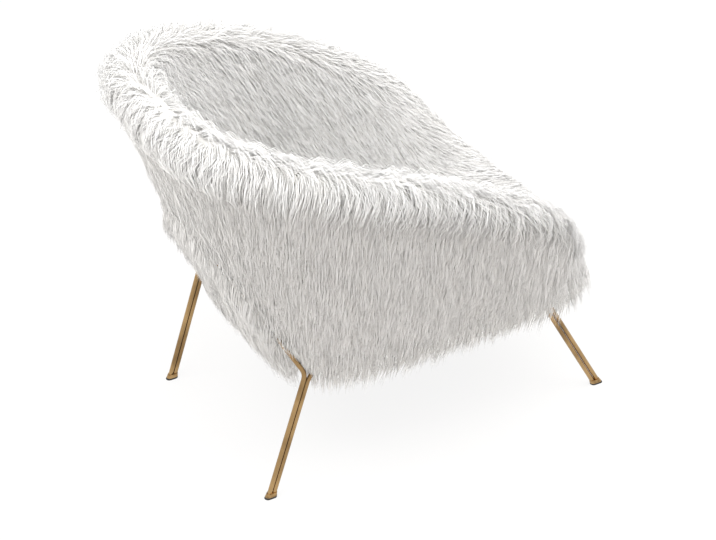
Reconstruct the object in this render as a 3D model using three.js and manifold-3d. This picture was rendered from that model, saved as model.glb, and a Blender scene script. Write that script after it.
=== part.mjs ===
// A tub chair in long shaggy fur on a fixed base of bent brass rod.
// Millimetres, +Z up, the floor at z = 0, the seat opening towards -Y, the sitter's left at +X.
import * as THREE from 'three';
import { mergeVertices } from 'three/addons/utils/BufferGeometryUtils.js';
import Module from 'manifold-3d';

const wasm = await Module();
wasm.setup();

// Sizes of the rod frame.
const rodDiameter = 10;
const frameHalfWidth = 237; // from the middle to the plane of a side rod
const railHeight = 281; // axis of the side rails above the floor
const rearFootReach = 396; // where a rear leg's middle line meets the floor, behind the origin
const rearKneeReach = 305.5; // where that line meets the rail's height
const frontFootReach = 411;
const frontKneeReach = 250;
const kneeBendRadius = 30;
const crossBendRadius = 36; // corner of the front hoop under the seat
const hoopLean = THREE.MathUtils.degToRad(28.5); // the back hoop's plane, from upright
const hoopRest = 0.9; // from the cover to the back hoop's rod
const hoopFree = 34; // how far the hoop runs above the knee before it lies along the cover
const rodSides = 12;
const bendStep = THREE.MathUtils.degToRad(14);

// Glides.
const glideHeight = 12;
const glideFloor = 3.2; // solid rubber under the rod ends
const glideWall = 2.2;
const glideFlare = 1.6; // how much wider the foot of a glide is
const glideArcPoints = 10;

// The plates, screws and bolts.
const plateLength = 62;
const plateWidth = 30;
const plateThickness = 3;
const rearPlateReach = 190; // middle of the rear plates, behind the origin
const frontPlateReach = 140; // middle of the front plates, before it
const firstScrewInset = 16; // from the rail's axis to the first screw
const screwPitch = 24;
const screwShank = 5;
const screwHead = 10.5;
const screwHeadHeight = 2.8;
const screwFaceShare = 0.64; // the flat face of a screw's head, of its width
const screwEdgeShare = 0.55; // how high the head's dome reaches down, of its height
const screwBite = 9; // length of the screw inside the board
const screwHoleClearance = 0.35;
const tabLength = 30;
const tabWidth = 22;
const tabThickness = 3;
const tabSlack = 5.4; // from the hoop's rod to a tab's middle
const tabAngle = THREE.MathUtils.degToRad(172); // where on the back the tabs sit
const boltShank = 6;
const boltHead = 12;
const boltHeadHeight = 3.6;
const boltFaceShare = 0.6; // the flat face of a bolt's head, of its width
const boltEdgeShare = 0.6; // where the head's dome starts, of its height
const nutDiameter = 15;
const nutHeight = 8;
const nutRest = 1.6; // from the shell's inside to the nut
const turnedSides = 12;

// The board and the dust cover.
const dustCoverThickness = 0.8;
const dustCoverInset = 19; // from the cover's hem to the edge of the dust cover
const boardThickness = 12;
const boardInset = 48; // from the cover's hem to the edge of the board

// Clearances.
const fitGap = 0.3; // between pieces that touch
const seamGap = 0.8; // between panels side by side
const rollSeamGap = 2.4; // between the outside panels and the rolled edge
const layerGap = 0.6; // between the cover and what it lies on
const channelGap = 1; // between the shell and the foam round it
const boreOverrun = 8; // how far a cut runs past what it cuts

// The upholstered body: its upright axis, and the hem, where the cover meets the frame.
const bodyMiddle = 50; // how far behind the origin the axis stands, where the body is widest
const hemRise = 6.3; // of the hem above the rails' axis
const hemHalfWidth = 284;
const hemFrontReach = 416;
const hemRearReach = 348;
const hemSquareness = 4;
const flankSwellShare = 0.011; // how far a side bows out, of its height

// The rim: the middle line of the rolled edge.
const rimHalfWidth = 360;
const rimFrontReach = 372;
const rimRearReach = 494;
const rimFrontSquareness = 2.2;
const rimRearSquareness = 2.7;
const rimFrontRise = 33.3; // above the rails' axis
const rimRearRise = 510;
const rollRadius = 36;
// The rim climbs from the front, angle 0, to the back, angle 180.
const rimStationDegrees = [0, 29, 53, 90, 126, 151, 180];
const rimRiseShares = [0, 0.125, 0.455, 0.73, 0.905, 0.985, 1];
// How much of a half turn the rolled edge makes before it runs into the inside of the seat.
const rollTurnShares = [0.48, 0.6, 0.8, 0.88, 0.87, 0.87, 0.87];
const wallStartShare = 0.33; // how long the inside wall keeps the roll's direction
const wallEndShare = 0.33; // and how long it keeps the direction that it has at the crease
const landingShare = 0.5; // how far that direction turns inwards

// The seat.
const creaseHalfWidth = 224;
const creaseFrontReach = 300;
const creaseRearReach = 196;
const creaseSquareness = 2.4;
const seatFrontRise = 83.3; // of the seat's front edge above the rails' axis
const seatRearRise = 43.3; // of its back edge
const seatCrown = 24;
const crownFullness = 2.4;

// The layers of the body, measured inwards from the cover.
const coverThickness = 16; // pile, backing and wadding
const outsidePadding = 12.6;
const shellThickness = 10;

// How finely the body is divided.
const roundSteps = 64; // steps round the body
const flankSteps = 4;
const rollSteps = 6;
const wallSteps = 5;
const seatSteps = 3;
const hoopSteps = 20; // along the cover's back

// Worked out from the sizes above.
const rodRadius = rodDiameter / 2;
const pairPitch = rodDiameter + fitGap; // between the two rods of a leg
const hemHeight = railHeight + hemRise;
const rimFrontHeight = railHeight + rimFrontRise;
const rimRearHeight = railHeight + rimRearRise;
const seatFrontHeight = railHeight + seatFrontRise;
const seatRearHeight = railHeight + seatRearRise;
const plateBottom = railHeight + rodRadius + fitGap;
const plateTop = plateBottom + plateThickness;
const dustCoverBottom = plateTop + fitGap;
const boardBottom = dustCoverBottom + dustCoverThickness + fitGap;
const boardTop = boardBottom + boardThickness;
const paddingDepth = coverThickness + layerGap;
const shellOuterDepth = paddingDepth + outsidePadding + channelGap;
const shellInnerDepth = shellOuterDepth + shellThickness;

// Materials.
const brass = new THREE.MeshStandardMaterial({ color: 0xb08d57, roughness: 0.3, metalness: 1 });
const rubber = new THREE.MeshStandardMaterial({ color: 0x17171a, roughness: 0.75, metalness: 0 });
const zinc = new THREE.MeshStandardMaterial({ color: 0x9a9a98, roughness: 0.4, metalness: 1 });
const ply = new THREE.MeshStandardMaterial({ color: 0xb99566, roughness: 0.7, metalness: 0 });
const foam = new THREE.MeshStandardMaterial({ color: 0xe6dcb4, roughness: 0.95, metalness: 0 });
const lining = new THREE.MeshStandardMaterial({ color: 0x222222, roughness: 0.95, metalness: 0 });
const fur = new THREE.MeshStandardMaterial({ color: 0xe4e1db, roughness: 0.95, metalness: 0 });

// Helpers for closed meshes.

// Merges shared vertices, drops collapsed triangles and turns the faces outwards.
function closed(geometry) {
  geometry.deleteAttribute('normal');
  geometry.deleteAttribute('uv');
  const merged = mergeVertices(geometry, 1e-4);
  const p = merged.attributes.position;
  const source = merged.index.array;
  const keep = [];
  for (let i = 0; i < source.length; i += 3) {
    const [a, b, c] = [source[i], source[i + 1], source[i + 2]];
    if (a !== b && b !== c && c !== a) keep.push(a, b, c);
  }
  let volume = 0;
  const va = new THREE.Vector3();
  const vb = new THREE.Vector3();
  const vc = new THREE.Vector3();
  for (let i = 0; i < keep.length; i += 3) {
    va.fromBufferAttribute(p, keep[i]);
    vb.fromBufferAttribute(p, keep[i + 1]);
    vc.fromBufferAttribute(p, keep[i + 2]);
    volume += va.dot(vb.cross(vc));
  }
  if (volume < 0) {
    for (let i = 0; i < keep.length; i += 3) [keep[i + 1], keep[i + 2]] = [keep[i + 2], keep[i + 1]];
  }
  merged.setIndex(keep);
  return merged;
}

function toSolid(geometry) {
  const g = closed(geometry.clone());
  return new wasm.Manifold(new wasm.Mesh({
    numProp: 3,
    vertProperties: new Float32Array(g.attributes.position.array),
    triVerts: new Uint32Array(g.index.array),
  }));
}

function fromSolid(solid) {
  const mesh = solid.getMesh();
  const g = new THREE.BufferGeometry();
  g.setAttribute('position', new THREE.BufferAttribute(new Float32Array(mesh.vertProperties), 3));
  g.setIndex(Array.from(mesh.triVerts));
  return g;
}

// Cuts every cutter out of a geometry.
function cut(geometry, cutters) {
  let solid = toSolid(geometry);
  for (const cutter of cutters) solid = solid.subtract(toSolid(cutter));
  return fromSolid(solid);
}

function mesh(name, geometry, material) {
  geometry.computeVertexNormals();
  const m = new THREE.Mesh(geometry, material);
  m.name = name;
  return m;
}

// Curves of the body.

// A smooth value between stations, flat at the first and the last.
function between(degrees, stations, values) {
  const folded = Math.abs(((degrees + 180) % 360 + 360) % 360 - 180);
  const last = stations.length - 1;
  let k = 0;
  while (k < last - 1 && folded > stations[k + 1]) k += 1;
  const slope = (i) => (i <= 0 || i >= last ? 0
    : (values[i + 1] - values[i - 1]) / (stations[i + 1] - stations[i - 1]));
  const span = stations[k + 1] - stations[k];
  const q = (folded - stations[k]) / span;
  const q2 = q * q;
  const q3 = q2 * q;
  return values[k] * (2 * q3 - 3 * q2 + 1) + slope(k) * span * (q3 - 2 * q2 + q)
    + values[k + 1] * (3 * q2 - 2 * q3) + slope(k + 1) * span * (q3 - q2);
}

// How far a squared oval reaches from the body's upright axis, at an angle from the front towards the left.
function reachOf(angle, halfWidth, frontReach, rearReach, frontSquareness, rearSquareness) {
  const s = Math.sin(angle) / halfWidth;
  const front = Math.cos(angle) > 0;
  const c = Math.cos(angle) / (front ? frontReach + bodyMiddle : rearReach - bodyMiddle);
  const n = front ? frontSquareness : rearSquareness;
  return (Math.abs(s) ** n + Math.abs(c) ** n) ** (-1 / n);
}

const hemReach = (angle, inset = 0) => reachOf(angle, hemHalfWidth - inset, hemFrontReach - inset,
  hemRearReach - inset, hemSquareness, hemSquareness);
const rimReach = (angle) => reachOf(angle, rimHalfWidth, rimFrontReach, rimRearReach,
  rimFrontSquareness, rimRearSquareness);
const creaseReach = (angle) => reachOf(angle, creaseHalfWidth, creaseFrontReach, creaseRearReach,
  creaseSquareness, creaseSquareness);

const seatHeight = (y) => seatRearHeight
  + (seatFrontHeight - seatRearHeight) * (creaseRearReach - y) / (creaseRearReach + creaseFrontReach);

const tiny = 1e-4;
const halvings = 40;
const up = new THREE.Vector3(0, 0, 1);

// One upright slice of the body through its axis. Its points are written as a distance from the axis
// and a height.
const slices = new Map();
function slice(angle) {
  const key = angle.toFixed(9);
  if (slices.has(key)) return slices.get(key);
  const degrees = THREE.MathUtils.radToDeg(angle);
  const rim = new THREE.Vector2(rimReach(angle), rimFrontHeight
    + (rimRearHeight - rimFrontHeight) * between(degrees, rimStationDegrees, rimRiseShares));
  const hem = new THREE.Vector2(hemReach(angle), hemHeight);
  const away = hem.clone().sub(rim);
  // The outside runs straight from the hem and touches the roll.
  const startTurn = Math.acos(rollRadius / away.length()) + Math.atan2(away.y, away.x);
  const endTurn = Math.PI * between(degrees, rimStationDegrees, rollTurnShares);
  const at = (turn) => new THREE.Vector2(Math.cos(turn), Math.sin(turn)).multiplyScalar(rollRadius).add(rim);
  const reach = creaseReach(angle);
  const crease = new THREE.Vector2(reach, seatHeight(bodyMiddle - reach * Math.cos(angle)));
  const wallTop = at(endTurn);
  const along = new THREE.Vector2(-Math.sin(endTurn), Math.cos(endTurn));
  const chord = crease.clone().sub(wallTop);
  const landing = chord.clone().normalize().add(new THREE.Vector2(-landingShare, 0)).normalize();
  const made = {
    angle, startTurn, endTurn, at, hem, crease,
    wall: new THREE.CubicBezierCurve(wallTop,
      wallTop.clone().addScaledVector(along, chord.length() * wallStartShare),
      crease.clone().addScaledVector(landing, -chord.length() * wallEndShare), crease),
  };
  slices.set(key, made);
  return made;
}

// A point of a slice's outline. The place runs 0 to 1 up the outside, 1 to 2 over the rolled edge and
// 2 to 3 down the inside wall to the crease.
function outlinePoint(s, place) {
  if (place <= 1) {
    const top = s.at(s.startTurn);
    const swell = flankSwellShare * (top.y - hemHeight) * Math.sin(Math.PI * Math.max(place, 0)) ** 2;
    const p = s.hem.clone().addScaledVector(top.sub(s.hem), place);
    return p.add(new THREE.Vector2(swell, 0));
  }
  if (place <= 2) return s.at(s.startTurn + (s.endTurn - s.startTurn) * (place - 1));
  return s.wall.getPoint(Math.min(place - 2, 1));
}

// The outward direction there, within the slice.
function outlineNormal(s, place) {
  const from = Math.min(place, 3 - tiny);
  const along = outlinePoint(s, from + tiny).sub(outlinePoint(s, from - tiny)).normalize();
  return new THREE.Vector2(along.y, -along.x);
}

const lift = (angle, q) => new THREE.Vector3(q.x * Math.sin(angle), bodyMiddle - q.x * Math.cos(angle), q.y);

// A point at a depth below the cover.
function below(angle, place, depth) {
  const s = slice(angle);
  return lift(angle, outlinePoint(s, place).addScaledVector(outlineNormal(s, place), -depth));
}

// A point of the cover, with places 3 to 4 over the seat from the crease to its middle.
function surface(angle, place) {
  if (place <= 3) return below(angle, place, 0);
  const q = Math.min(place - 3, 1);
  const p = below(angle, 3, 0).lerp(new THREE.Vector3(0, bodyMiddle, 0), q);
  return p.setZ(seatHeight(p.y) + seatCrown * (1 - (1 - q) ** crownFullness));
}

// The cover's outward direction, on the outside.
function normalAt(angle, place) {
  const across = surface(angle + tiny, place).sub(surface(angle - tiny, place));
  return across.cross(surface(angle, place + tiny).sub(surface(angle, place - tiny))).normalize();
}

// The place on the outside where a point at a depth has a given height.
function placeAtHeight(angle, depth, height) {
  let low = -0.2;
  let high = 1;
  for (let i = 0; i < halvings; i += 1) {
    const middle = (low + high) / 2;
    if (below(angle, middle, depth).z < height) low = middle; else high = middle;
  }
  return (low + high) / 2;
}

const steps = (from, to, count) => Array.from({ length: count + 1 }, (_, i) => from + (to - from) * i / count);
const angleOf = (round) => round * 2 * Math.PI / roundSteps;

// Closed shapes round the body.

// A panel of the cover: a box bent onto the surface, between two steps round the body and over a list of places.
function panel(firstRound, lastRound, places, thickness) {
  const across = lastRound - firstRound;
  const high = places.length - 1;
  const g = new THREE.BoxGeometry(1, 1, 1, across, high, 1);
  const p = g.attributes.position;
  for (let i = 0; i < p.count; i += 1) {
    const column = Math.round((p.getX(i) + 0.5) * across);
    const row = Math.round((p.getY(i) + 0.5) * high);
    let angle = angleOf(firstRound + column);
    let place = places[row];
    const half = seamGap / 2;
    if (column === 0 || column === across) {
      const speed = surface(angle + tiny, place).distanceTo(surface(angle - tiny, place)) / (2 * tiny);
      angle += (column === 0 ? 1 : -1) * half / speed;
    }
    if (row === 0 || row === high) {
      const probe = row === 0 ? place + tiny : place - tiny;
      const speed = surface(angle, probe).distanceTo(surface(angle, place)) / tiny;
      if (place > 0) place += (row === 0 ? 1 : -1) * (place === 1 ? rollSeamGap : seamGap) / (2 * speed);
    }
    const depth = p.getZ(i) > 0 ? 0 : thickness;
    const q = below(angle, place, depth);
    p.setXYZ(i, q.x, q.y, q.z);
  }
  return closed(g);
}

// A ring round the body from one closed profile for each step round it. Rows from the given one on are
// split along their other diagonal, so that they lie along the rows of the piece that they face.
function ring(profileOf, turnedFrom = Infinity) {
  const count = profileOf(0).length;
  const blank = Array.from({ length: count + 1 }, () => new THREE.Vector2(1, 1));
  const g = new THREE.LatheGeometry(blank, roundSteps);
  const p = g.attributes.position;
  for (let i = 0; i <= roundSteps; i += 1) {
    const profile = profileOf(angleOf(i % roundSteps));
    for (let j = 0; j <= count; j += 1) {
      const q = profile[j % count];
      p.setXYZ(i * (count + 1) + j, q.x, q.y, q.z);
    }
  }
  const index = [];
  for (let i = 0; i < roundSteps; i += 1) {
    for (let j = 0; j < count; j += 1) {
      const a = i * (count + 1) + j;
      const b = a + count + 1;
      if (j < turnedFrom) index.push(a, b, a + 1, b + 1, a + 1, b);
      else index.push(a, b, b + 1, a, b + 1, a + 1);
    }
  }
  g.setIndex(index);
  return closed(g);
}

// A closed body round an upright middle line, from an open profile that starts and ends on that line.
function plug(profileOf) {
  const count = profileOf(0).length;
  const blank = Array.from({ length: count }, () => new THREE.Vector2(1, 1));
  const g = new THREE.LatheGeometry(blank, roundSteps);
  const p = g.attributes.position;
  for (let i = 0; i <= roundSteps; i += 1) {
    const profile = profileOf(angleOf(i % roundSteps));
    profile.forEach((q, j) => p.setXYZ(i * count + j, q.x, q.y, q.z));
  }
  return closed(g);
}

// A flat plate in the hem's outline.
function hemPlate(inset, bottom, thickness) {
  const outline = steps(0, roundSteps - 1, roundSteps - 1).map((i) => {
    const q = lift(angleOf(i), new THREE.Vector2(hemReach(angleOf(i), inset), 0));
    return new THREE.Vector2(q.x, q.y);
  });
  const g = new THREE.ExtrudeGeometry(new THREE.Shape(outline), { depth: thickness, bevelEnabled: false });
  g.translate(0, 0, bottom);
  return closed(g);
}

// Rods.

// Rounds the named corners of a line of points: [point, radius] pairs, radius 0 for a point that is passed through.
function rounded(corners) {
  const path = [];
  corners.forEach(([point, radius], i) => {
    if (!radius || i === 0 || i === corners.length - 1) {
      path.push(point.clone());
      return;
    }
    const back = corners[i - 1][0].clone().sub(point).normalize();
    const ahead = corners[i + 1][0].clone().sub(point).normalize();
    const turn = Math.PI - back.angleTo(ahead);
    const reach = radius * Math.tan(turn / 2);
    const centre = back.clone().add(ahead).normalize().multiplyScalar(radius / Math.cos(turn / 2)).add(point);
    const from = point.clone().addScaledVector(back, reach).sub(centre);
    const axis = from.clone().cross(point.clone().addScaledVector(ahead, reach).sub(centre)).normalize();
    const count = Math.max(2, Math.ceil(turn / bendStep));
    for (const q of steps(0, turn, count)) path.push(from.clone().applyAxisAngle(axis, q).add(centre));
  });
  return path;
}

// A round bar along a line of points, as a cylinder whose rings are set along the line.
function bar(path, radius) {
  const last = path.length - 1;
  const g = new THREE.CylinderGeometry(radius, radius, 1, rodSides, last);
  const tangents = path.map((q, i) => path[Math.min(i + 1, last)].clone()
    .sub(path[Math.max(i - 1, 0)]).normalize());
  const sideways = [new THREE.Vector3(1, 0, 0)];
  if (Math.abs(tangents[0].x) > 0.9) sideways[0].set(0, 1, 0);
  sideways[0].addScaledVector(tangents[0], -sideways[0].dot(tangents[0])).normalize();
  for (let i = 1; i <= last; i += 1) {
    sideways[i] = sideways[i - 1].clone()
      .addScaledVector(tangents[i], -sideways[i - 1].dot(tangents[i])).normalize();
  }
  const p = g.attributes.position;
  for (let i = 0; i < p.count; i += 1) {
    const k = Math.round((0.5 - p.getY(i)) * last);
    const other = tangents[k].clone().cross(sideways[k]);
    const q = path[k].clone().addScaledVector(sideways[k], p.getX(i)).addScaledVector(other, p.getZ(i));
    p.setXYZ(i, q.x, q.y, q.z);
  }
  return closed(g);
}

// One leg's middle line: its foot, its knee and the direction up it.
function legLine(footReach, kneeReach) {
  const foot = new THREE.Vector3(frameHalfWidth, footReach, 0);
  const knee = new THREE.Vector3(frameHalfWidth, kneeReach, railHeight);
  const rise = knee.clone().sub(foot).normalize();
  const across = new THREE.Vector3(0, rise.z, -rise.y); // square to the leg, towards +Y
  return { foot, rise, across, tilt: Math.acos(rise.z), slope: rise.y / rise.z };
}
const rearLeg = legLine(rearFootReach, rearKneeReach);
const frontLeg = legLine(-frontFootReach, -frontKneeReach);

// The axis of one rod of a leg at a height. The side is 1 for the rod nearer +Y and -1 for the other.
function onLeg(leg, side, height) {
  const start = leg.foot.clone().addScaledVector(leg.across, side * pairPitch / 2);
  return start.addScaledVector(leg.rise, (height - start.z) / leg.rise.z);
}
const rodEnd = (leg, side) => onLeg(leg, side, glideFloor + fitGap + rodRadius * Math.sin(leg.tilt));

const mirrored = (points) => points.map((q) => new THREE.Vector3(-q.x, q.y, q.z));

// A side rod: rear leg, rail and front leg in one bend line.
const sideRodPath = rounded([
  [rodEnd(rearLeg, -1), 0],
  [onLeg(rearLeg, -1, railHeight), kneeBendRadius],
  [onLeg(frontLeg, 1, railHeight), kneeBendRadius],
  [rodEnd(frontLeg, 1), 0],
]);

// The front hoop: a leg, the bar under the front of the seat and the other leg.
const frontCorner = onLeg(frontLeg, -1, railHeight);
const frontHoopPath = rounded([
  [rodEnd(frontLeg, -1), 0],
  [frontCorner, crossBendRadius],
  [mirrored([frontCorner])[0], crossBendRadius],
  [mirrored([rodEnd(frontLeg, -1)])[0], 0],
]);

// The back hoop leaves the rear legs at the knee and leans back in one plane along the cover.
const hoopKnee = onLeg(rearLeg, 1, railHeight);
const hoopOffset = hoopRest + rodRadius;
function hoopPlace(angle) {
  let low = -0.1;
  let high = 1;
  for (let i = 0; i < halvings; i += 1) {
    const middle = (low + high) / 2;
    const q = surface(angle, middle).addScaledVector(normalAt(angle, middle), hoopOffset);
    if ((q.y - hoopKnee.y) > Math.tan(hoopLean) * (q.z - hoopKnee.z)) low = middle; else high = middle;
  }
  return (low + high) / 2;
}
function hoopPoint(angle) {
  const place = hoopPlace(angle);
  return surface(angle, place).addScaledVector(normalAt(angle, place), hoopOffset);
}
let hoopStart = Math.PI * 0.7;
for (let step = Math.PI / 8; step > tiny; step /= 2) {
  if (hoopPoint(hoopStart).z < railHeight + hoopFree) hoopStart += step; else hoopStart -= step;
}
const hoopSpan = steps(hoopStart, 2 * Math.PI - hoopStart, hoopSteps).map((angle) => [hoopPoint(angle), 0]);
const hoopPath = rounded([
  [rodEnd(rearLeg, 1), 0],
  [hoopKnee, kneeBendRadius],
  ...hoopSpan,
  [mirrored([hoopKnee])[0], kneeBendRadius],
  [mirrored([rodEnd(rearLeg, 1)])[0], 0],
]);

const chair = new THREE.Group();
const frame = new THREE.Group();
const underside = new THREE.Group();
const body = new THREE.Group();
chair.add(frame, underside, body);

frame.add(mesh('side_rod_left', bar(sideRodPath, rodRadius), brass));
frame.add(mesh('side_rod_right', bar(mirrored(sideRodPath), rodRadius), brass));
frame.add(mesh('front_hoop', bar(frontHoopPath, rodRadius), brass));
frame.add(mesh('back_hoop', bar(hoopPath, rodRadius), brass));

// Glides: one rubber foot under both rods of a leg.
function glide(leg, sideSign) {
  const halfLength = (pairPitch / 2 + rodRadius) / Math.cos(leg.tilt) + glideWall;
  const radius = rodRadius + glideWall + fitGap;
  const straight = halfLength - radius;
  const outline = new THREE.Shape();
  outline.absarc(0, straight, radius, 0, Math.PI);
  outline.absarc(0, -straight, radius, Math.PI, 2 * Math.PI);
  const g = new THREE.ExtrudeGeometry(outline, {
    depth: glideHeight, bevelEnabled: false, curveSegments: glideArcPoints,
  });
  const p = g.attributes.position;
  for (let i = 0; i < p.count; i += 1) {
    const grow = 1 + (p.getZ(i) < glideHeight / 2 ? glideFlare / radius : 0);
    p.setXYZ(i, p.getX(i) * grow, p.getY(i) * grow + p.getZ(i) * leg.slope, p.getZ(i));
  }
  const sockets = [-1, 1].map((side) => {
    const from = rodEnd(leg, side).addScaledVector(leg.rise, -fitGap).sub(leg.foot);
    const to = from.clone().addScaledVector(leg.rise, glideHeight + boreOverrun);
    return bar([from, to], rodRadius + fitGap);
  });
  const made = cut(g, sockets);
  if (sideSign < 0) {
    made.scale(-1, 1, 1);
    return closed(made);
  }
  return made;
}
for (const [where, leg] of [['rear', rearLeg], ['front', frontLeg]]) {
  for (const [hand, sign] of [['left', 1], ['right', -1]]) {
    const m = mesh(`glide_${where}_${hand}`, glide(leg, sign), rubber);
    m.position.set(sign * leg.foot.x, leg.foot.y, 0);
    frame.add(m);
  }
}

// Plates on the rails, and the screws that hold the board to them.
function turned(profile) {
  return closed(new THREE.LatheGeometry(profile.map(([r, y]) => new THREE.Vector2(r, y)), turnedSides)
    .rotateX(Math.PI / 2));
}
const screwLength = plateThickness + fitGap + dustCoverThickness + fitGap + screwBite;
const screwHoleRadius = screwShank / 2 + screwHoleClearance;
const screwPlaces = [];
const plateCentreX = frameHalfWidth + rodRadius - plateLength / 2;
const screwOffsets = [firstScrewInset, firstScrewInset + screwPitch]
  .map((inset) => frameHalfWidth - inset - plateCentreX);
const column = (radius, from, to) => new THREE.CylinderGeometry(radius, radius, to - from, turnedSides)
  .rotateX(Math.PI / 2).translate(0, 0, (from + to) / 2);
const plateShape = cut(
  new THREE.BoxGeometry(plateLength, plateWidth, plateThickness),
  screwOffsets.map((x) => column(screwHoleRadius, -plateThickness, plateThickness).translate(x, 0, 0)),
);
for (const [where, y] of [['rear', rearPlateReach], ['front', -frontPlateReach]]) {
  for (const [hand, sign] of [['left', 1], ['right', -1]]) {
    const m = mesh(`seat_plate_${where}_${hand}`, plateShape.clone(), zinc);
    m.position.set(sign * plateCentreX, y, (plateBottom + plateTop) / 2);
    if (sign < 0) m.rotation.z = Math.PI;
    underside.add(m);
    screwOffsets.forEach((x, i) => {
      screwPlaces.push([`seat_screw_${where}_${hand}_${i + 1}`, sign * (plateCentreX + x), y]);
    });
  }
}
const screwShape = turned([
  [0, 0], [screwFaceShare * screwHead / 2, 0], [screwHead / 2, screwEdgeShare * screwHeadHeight],
  [screwHead / 2, screwHeadHeight],
  [screwShank / 2, screwHeadHeight], [screwShank / 2, screwHeadHeight + screwLength - screwShank / 2],
  [0, screwHeadHeight + screwLength],
]);
for (const [name, x, y] of screwPlaces) {
  const m = mesh(name, screwShape.clone(), zinc);
  m.position.set(x, y, plateBottom - fitGap - screwHeadHeight);
  underside.add(m);
}

// The board and the dust cover under the seat.
const screwBores = screwPlaces.map(([, x, y]) => column(screwHoleRadius,
  dustCoverBottom - boreOverrun, boardTop + boreOverrun).translate(x, y, 0));
underside.add(mesh('seat_board', cut(hemPlate(boardInset, boardBottom, boardThickness), screwBores), ply));
underside.add(mesh('dust_cover',
  cut(hemPlate(dustCoverInset, dustCoverBottom, dustCoverThickness), screwBores), lining));

// The tabs of the back hoop, their bolts and nuts.
const tabs = [['left', tabAngle], ['right', 2 * Math.PI - tabAngle]].map(([hand, angle]) => {
  const top = surface(angle, hoopPlace(angle));
  const reach = rodRadius + tabSlack + tabLength / 2;
  const place = placeAtHeight(angle, 0, top.z - reach * Math.cos(hoopLean));
  const normal = normalAt(angle, place);
  const side = up.clone().cross(normal).normalize();
  const matrix = new THREE.Matrix4().makeBasis(side, normal.clone().cross(side), normal);
  matrix.setPosition(surface(angle, place));
  return { hand, matrix };
});
const tabRest = layerGap; // from the cover to a tab
const boltTop = tabRest + tabThickness + fitGap;
const nutTop = -shellInnerDepth - nutRest;
const boltLength = boltTop - nutTop + nutHeight;
const tabShape = cut(
  new THREE.BoxGeometry(tabWidth, tabLength, tabThickness),
  [column(boltShank / 2 + screwHoleClearance, -tabThickness, tabThickness)],
);
const boltShape = turned([
  [0, boltTop - boltLength], [boltShank / 2, boltTop - boltLength], [boltShank / 2, boltTop],
  [boltHead / 2, boltTop], [boltHead / 2, boltTop + boltEdgeShare * boltHeadHeight],
  [boltFaceShare * boltHead / 2, boltTop + boltHeadHeight], [0, boltTop + boltHeadHeight],
]);
const nutShape = cut(
  column(nutDiameter / 2, nutTop - nutHeight, nutTop),
  [column(boltShank / 2 + screwHoleClearance, nutTop - nutHeight - boreOverrun, nutTop + boreOverrun)],
);
const boltBores = tabs.map(({ matrix }) => column(boltShank / 2 + screwHoleClearance,
  nutTop - nutHeight - boreOverrun, boltTop).applyMatrix4(matrix));
const nutPockets = tabs.map(({ matrix }) => column(nutDiameter / 2 + screwHoleClearance,
  nutTop - nutHeight - boreOverrun, nutTop + nutRest).applyMatrix4(matrix));
for (const { hand, matrix } of tabs) {
  const place = new THREE.Group();
  place.applyMatrix4(matrix);
  const tab = mesh(`hoop_tab_${hand}`, tabShape.clone(), brass);
  tab.position.z = tabRest + tabThickness / 2;
  place.add(tab);
  place.add(mesh(`hoop_bolt_${hand}`, boltShape.clone(), zinc));
  place.add(mesh(`hoop_nut_${hand}`, nutShape.clone(), zinc));
  underside.add(place);
}

// The shell and the foam.
function shellProfile(angle) {
  const outer = placeAtHeight(angle, shellOuterDepth, boardBottom);
  const inner = placeAtHeight(angle, shellInnerDepth, boardBottom);
  return [
    ...steps(outer, 1, flankSteps).map((v) => below(angle, v, shellOuterDepth)),
    ...steps(1, inner, flankSteps).map((v) => below(angle, v, shellInnerDepth)),
  ];
}
body.add(mesh('seat_shell', cut(ring(shellProfile), boltBores), ply));

function bucketProfile(angle) {
  const cover = placeAtHeight(angle, paddingDepth, boardBottom);
  const outer = placeAtHeight(angle, shellOuterDepth - channelGap, boardBottom);
  const inner = placeAtHeight(angle, shellInnerDepth + channelGap, boardTop + fitGap);
  const raise = (q) => q.addScaledVector(up, channelGap);
  return [
    ...steps(cover, 1, flankSteps).map((v) => below(angle, v, paddingDepth)),
    ...steps(1, 2, rollSteps).slice(1).map((v) => below(angle, v, paddingDepth)),
    ...steps(2, 3, wallSteps).slice(1).map((v) => below(angle, v, paddingDepth)),
    below(angle, 3, paddingDepth).setZ(boardTop + fitGap),
    ...steps(inner, 1, flankSteps).map((v) => below(angle, v, shellInnerDepth + channelGap)),
    raise(below(angle, 1, shellInnerDepth + channelGap)),
    raise(below(angle, 1, shellOuterDepth - channelGap)),
    ...steps(1, outer, flankSteps).slice(1).map((v) => below(angle, v, shellOuterDepth - channelGap)),
  ];
}
const coverRows = flankSteps + rollSteps + wallSteps;
body.add(mesh('foam_bucket', cut(ring(bucketProfile, coverRows + 2), [...boltBores, ...nutPockets]), foam));

// The seat's foam fills the bucket's middle, and its edge follows the foam round it.
function seatEdge(angle, depth) {
  const q = below(angle, 3, depth);
  return q.lerp(new THREE.Vector3(0, bodyMiddle, q.z), seamGap / creaseHalfWidth);
}
function seatFoamProfile(angle) {
  const edge = seatEdge(angle, paddingDepth);
  return [
    ...steps(4, 3, seatSteps).slice(0, -1).map((v) => surface(angle, v).setZ(surface(angle, v).z - paddingDepth)),
    edge,
    edge.clone().setZ(boardTop + fitGap),
    new THREE.Vector3(0, bodyMiddle, boardTop + fitGap),
  ];
}
body.add(mesh('foam_seat', plug(seatFoamProfile), foam));

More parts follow.
